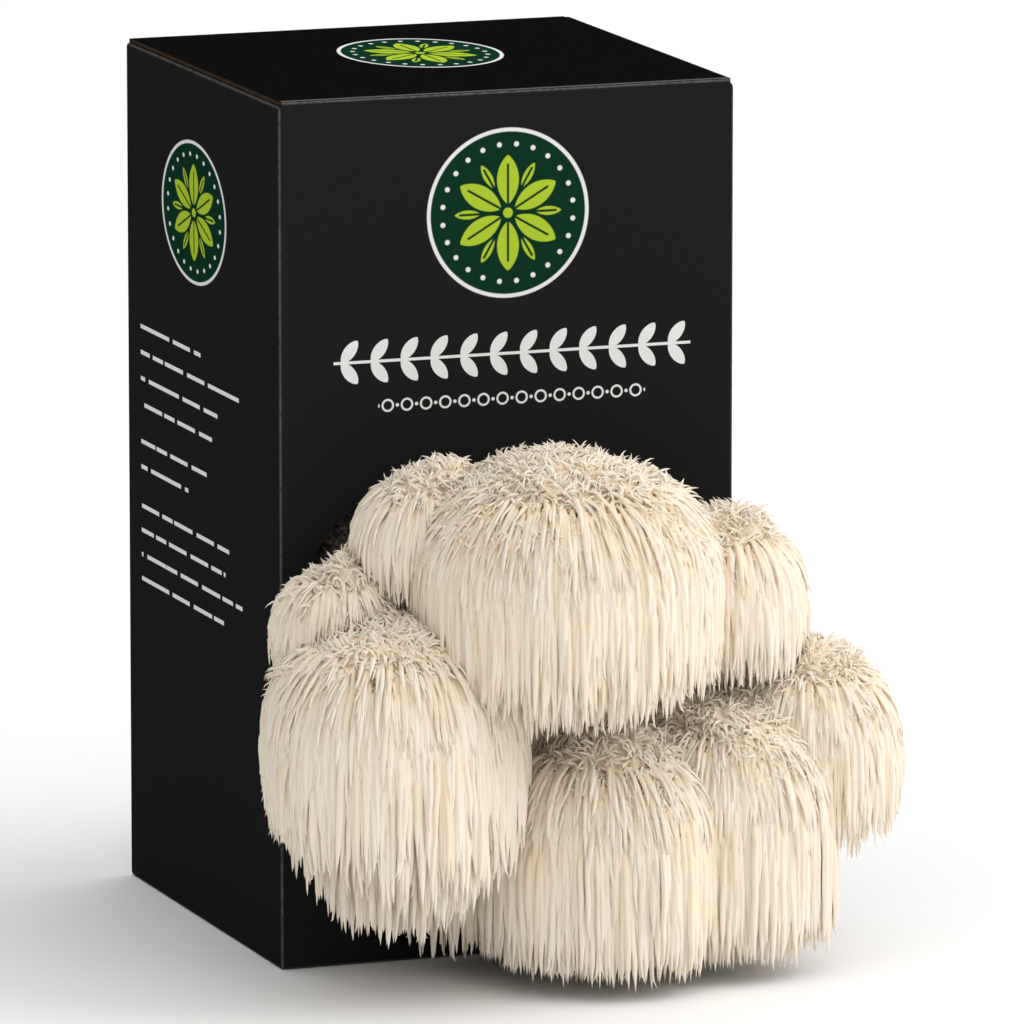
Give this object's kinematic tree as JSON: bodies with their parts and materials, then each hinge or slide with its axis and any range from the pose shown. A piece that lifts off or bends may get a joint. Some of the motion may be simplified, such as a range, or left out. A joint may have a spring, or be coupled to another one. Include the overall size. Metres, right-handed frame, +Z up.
{
  "type": "lions mane mushroom grow kit",
  "caption": "Mushroom grow kit: a black folded carton with a substrate block in its bag, and a shaggy white mushroom grown out through the front window.",
  "frame": {"origin": "centre of the carton's base, on the surface it stands on", "axes": "+Z up; -Y out of the front face with the window that the mushroom grows through; +X to the right seen from the front"},
  "size_m": [0.2375, 0.2689, 0.3],
  "materials": {
    "black_card": "satin",
    "sawdust_block": "matte",
    "clear_film": "gloss",
    "filter_paper": "matte",
    "mushroom_flesh": "matte"
  },
  "bodies": {
    "kit": {"carton": "black_card", "substrate_block": "sawdust_block", "grow_bag": "clear_film", "filter_patch": "filter_paper", "lions_mane": "mushroom_flesh"},
    "lid": {"carton_lid": "black_card"}
  },
  "joints": [
    {"name": "lid_fold", "type": "hinge", "parent": "kit", "child": "lid", "pos_m": [0, -0.08115, 0.3], "axis": [1, 0, 0], "range_deg": [0, 130]}
  ]
}
